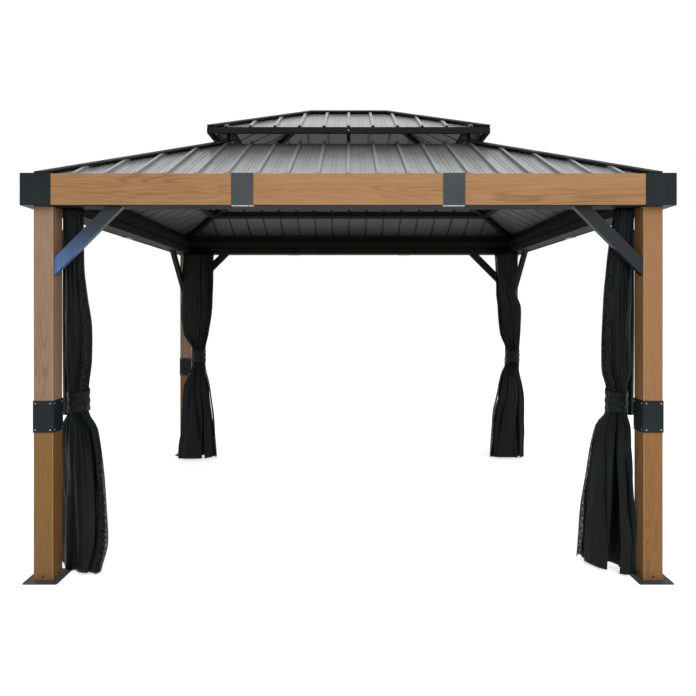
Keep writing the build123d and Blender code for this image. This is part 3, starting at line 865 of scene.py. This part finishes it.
def tie_band(corner):
    """The band round a curtain's waist: a ring a little outside the gather.

    Its radius adds creases that run round it, fine ruffles and a lapped end whose edges stand off.
    Its height is a share of the band's half height, which waves a little round the ring.
    """
    tie, gather = GATHERS[corner]
    waist = next(station for station in gather if abs(station[0] - tie - band_half) < 0.01)
    _, inset_x, inset_y, _, radius, _ = waist
    rows, columns = 15, 96
    angle = (np.arange(columns) * 2 * np.pi / columns)[None, :]
    part = np.linspace(-1, 1, rows)[:, None]
    lap = np.exp(-(((np.mod(angle - 5.6 + np.pi, 2 * np.pi) - np.pi) / 0.22) ** 2))
    crease = np.sin(np.pi * 2.6 * part + 2.2 * np.sin(2 * angle) + 1) * (1 - part**2)
    ruffle = np.sin(9 * angle + 2 * part) + 0.6 * np.sin(17 * angle - 3 * part)
    reach = radius + 0.0030 + 0.0030 * crease + 0.0014 * ruffle + 0.010 * lap * part**2
    z = tie + band_half * part * (1 + 0.07 * np.sin(2 * angle + 1)) + 0.005 * np.sin(angle + 0.5)
    from_x = inset_x + reach * np.cos(angle)
    from_y = inset_y + reach * np.sin(angle)
    points = from_corner(corner, from_x, from_y, z)
    faces = grid_faces(rows, columns, closed=True, flipped=mirrored(corner))
    piece = piece_from(f"tie_band_{corner}", points, faces, cloth)
    map_flat(piece, angle[0] * radius, band_half * part[:, 0])
    thicken(piece, band_thickness, offset=-1)
    return piece


# For the tapes their insets and how far in they start, and the seeds of the cloth and the netting
tape_insets = {"front": np.linspace(0.020, 0.120, 5), "back": np.linspace(0.035, 0.210, 6)}
tape_reach = {"front": 0.010, "back": 0.030}
cloth_seed, net_seed = 11, 31
for number, corner in enumerate(CORNERS):
    end_side, flank = corner.split("_")
    folds = gathered(corner, rows=110, columns=340, seed=cloth_seed + number)
    drape = cloth_piece("cloth", corner, folds, cloth, cloth_thickness)
    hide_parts(f"curtain_{corner}")
    strip = gathered(corner, rows=60, columns=40, seed=net_seed + number, only_net=True)
    side_net = cloth_piece("netting", corner, strip, net, net_thickness)
    band = tie_band(corner)
    tapes = hanging_tapes(corner, tape_insets[end_side], tape_reach[end_side])
    if end_side == "front":
        edge = cloth_piece("loose_edge", corner, loose_edge(corner), cloth, cloth_thickness)


# Screws on the sleeves and at the posts' feet: one side of a post is an axis and a sign along it
sleeve_screw_aside, sleeve_screw_inset = 0.042, 0.015
foot_screw_height = 0.020
on_sleeves, on_feet = [], []
for (x_sign, y_sign), axis, out in product(CORNERS.values(), (0, 1), (-1, 1)):
    direction = np.zeros(3)
    direction[axis] = out
    middle = np.array([x_sign * post_x, y_sign * post_y, 0.0])
    rows_of_screws = (sleeve_bottom + sleeve_screw_inset, sleeve_top - sleeve_screw_inset)
    for side, z in product((-1, 1), rows_of_screws):
        place = middle + direction * sleeve_half
        place[1 - axis] += side * sleeve_screw_aside
        place[2] = z
        on_sleeves.append((place, direction))
    foot = middle + direction * post_half
    foot[2] = plate_top + foot_screw_height
    on_feet.append((foot, direction))
screws("sleeve_screws", *zip(*on_sleeves), screw_metal)
screws("foot_screws", *zip(*on_feet), dark_screw, radius=0.006, height=0.003)


def rib_places(half_x, half_y, eave, lines):
    """Places on the ribs of one tier, and the direction square to the slope at each.

    Each side is worked out as the front and turned by quarters: on each line, a distance in from the
    eave, there is a place on each rib that the side is long enough for. Ribs stand on the slope.
    """
    hip_clearance = 0.06
    places, directions = [], []
    for turn, (along, out) in enumerate([(half_x, half_y), (half_y, half_x)] * 2):
        angle = turn * np.pi / 2
        spin = np.array([[np.cos(angle), -np.sin(angle)], [np.sin(angle), np.cos(angle)]])
        upwards = np.array([0, -roof_slope, 1]) / np.hypot(1, roof_slope)
        direction = np.array([*(spin @ upwards[:2]), upwards[2]])
        for line in lines:
            rib = np.arange(-20, 21) * rib_pitch
            rib = rib[np.abs(rib) < along - line - hip_clearance]
            flat = spin @ np.stack([rib, np.full(rib.shape, line - out)])
            place = np.vstack([flat, np.full((1, rib.size), eave + roof_slope * line)]).T
            places.append(place + direction * rib_height)
            directions.append(np.broadcast_to(direction, place.shape))
    return np.vstack(places), np.vstack(directions)


lower_lines, upper_lines = (0.078, 0.478, 0.927), (0.050, 0.38)
lower_tier = rib_places(half_width, half_depth, eave_z, lower_lines)
upper_tier = rib_places(upper_half_width, upper_half_depth, upper_eave_z, upper_lines)
for name, tier in (("lower_roof_screws", lower_tier), ("upper_roof_screws", upper_tier)):
    screws(name, *tier, screw_paint, radius=0.0042, height=0.0025, sides=8)


# Lips under the joint covers, each in three lengths, painted near-white as a painted highlight of the
# covers' lit lower edges
lip_proud, lip_behind = 0.0025, 0.020
lip_bottom, lip_top = headroom - 0.004, headroom - 0.0002
lip_lengths = ((-0.060, -0.037), (-0.031, 0.031), (0.037, 0.060))
lips = []
for sign, (start, end) in product((-1, 1), lip_lengths):
    y_low, y_high = sorted([sign * (half_depth - lip_behind), sign * (half_depth + lip_proud)])
    for x in (-front_joint_offset, front_joint_offset):
        lips.append([x + start, y_low, lip_bottom, x + end, y_high, lip_top])
    x_low, x_high = sorted([sign * (half_width - lip_behind), sign * (half_width + lip_proud)])
    lips.append([x_low, start, lip_bottom, x_high, end, lip_top])
strips("joint_cover_lips", lips, lip_highlight_coat)

# A clip and its bolt at the middle of the upper fascia, front and back
clip_half, clip_proud, clip_edge = 0.016, 0.0012, 0.0005
bolt_z = upper_fascia_bottom + 0.019
clips, on_clips = [], []
for sign in (-1, 1):
    clip_y = sign * (upper_half_depth + clip_proud)
    y_low, y_high = sorted([clip_y, sign * (upper_half_depth - 0.001)])
    clip_bottom, clip_top = upper_fascia_bottom + clip_edge, upper_fascia_top - clip_edge
    clips.append([-clip_half, y_low, clip_bottom, clip_half, y_high, clip_top])
    on_clips.append(([0, clip_y, bolt_z], [0, sign, 0]))
strips("upper_fascia_clips", clips, cap_coat)
screws("upper_fascia_bolts", *zip(*on_clips), screw_metal, radius=0.006, height=0.003)


# Floor and light
ambient = 0.62
world = bpy.data.worlds.new("studio")
scene.world = world
world.use_nodes = True
sky = Nodes(world.node_tree)
background = world.node_tree.nodes["Background"]
background.inputs["Color"].default_value = (1, 1, 1, 1)
sky.put(background.inputs["Strength"], ambient + sky.seen() * (1 - ambient))

floor_half, floor_grey, floor_glow = 40, (0.80, 0.80, 0.80, 1), (0.6, 0.6, 0.6, 1)
floor_points = floor_half * np.array([[-1, -1, 0], [1, -1, 0], [1, 1, 0], [-1, 1, 0]], float)
floor_mesh = bpy.data.meshes.new("floor")
floor_mesh.from_pydata(floor_points, [], [(0, 1, 2, 3)])
floor = bpy.data.objects.new("floor", floor_mesh)
scene.collection.objects.link(floor)
floor_finish = Finish("pale_floor", Roughness=0.9, Specular_IOR_Level=0.0, Emission_Strength=1.0)
floor_finish.shine(
    Base_Color=floor_grey,
    Emission_Color=floor_finish.blend(floor_finish.seen(), (0, 0, 0, 1), floor_glow),
)
floor_mesh.materials.append(floor_finish.material)


def softbox(name, place, aim, side, power):
    """A large square lamp that faces a point."""
    lamp = bpy.data.lights.new(name, "AREA")
    lamp.size = side
    lamp.energy = power
    lit = bpy.data.objects.new(name, lamp)
    away = np.array(place, float) - np.array(aim, float)
    away = away / np.linalg.norm(away)
    right = np.cross([0, 0, 1], away)
    right = right / np.linalg.norm(right)
    turn = np.eye(4)
    turn[:3] = np.stack([right, np.cross(away, right), away, place], axis=-1)
    lit.matrix_world = turn.T
    scene.collection.objects.link(lit)
    lit.visible_glossy = False
    lit.visible_camera = False


softbox("front_softbox", place=(1.2, -7.5, 4.5), aim=(0, 0, 1.4), side=5.0, power=330)
softbox("top_softbox", place=(1.0, -1.0, 8.0), aim=(0, 0, 1.5), side=6.0, power=260)

# Camera: level, with the horizon 39 pixels above the middle of the picture
picture_side = 696
shift_pixels = (-2, -39)
camera = bpy.data.objects.new("camera", bpy.data.cameras.new("camera"))
scene.collection.objects.link(camera)
camera.data.sensor_width = 36
camera.data.lens = 30
camera.data.shift_x = shift_pixels[0] / picture_side
camera.data.shift_y = shift_pixels[1] / picture_side
camera.data.clip_end = 200
camera.location = (0.010, -4.758, 1.542)
camera.rotation_euler = (np.pi / 2, 0, 0)
scene.camera = camera
scene.view_settings.view_transform = "Standard"
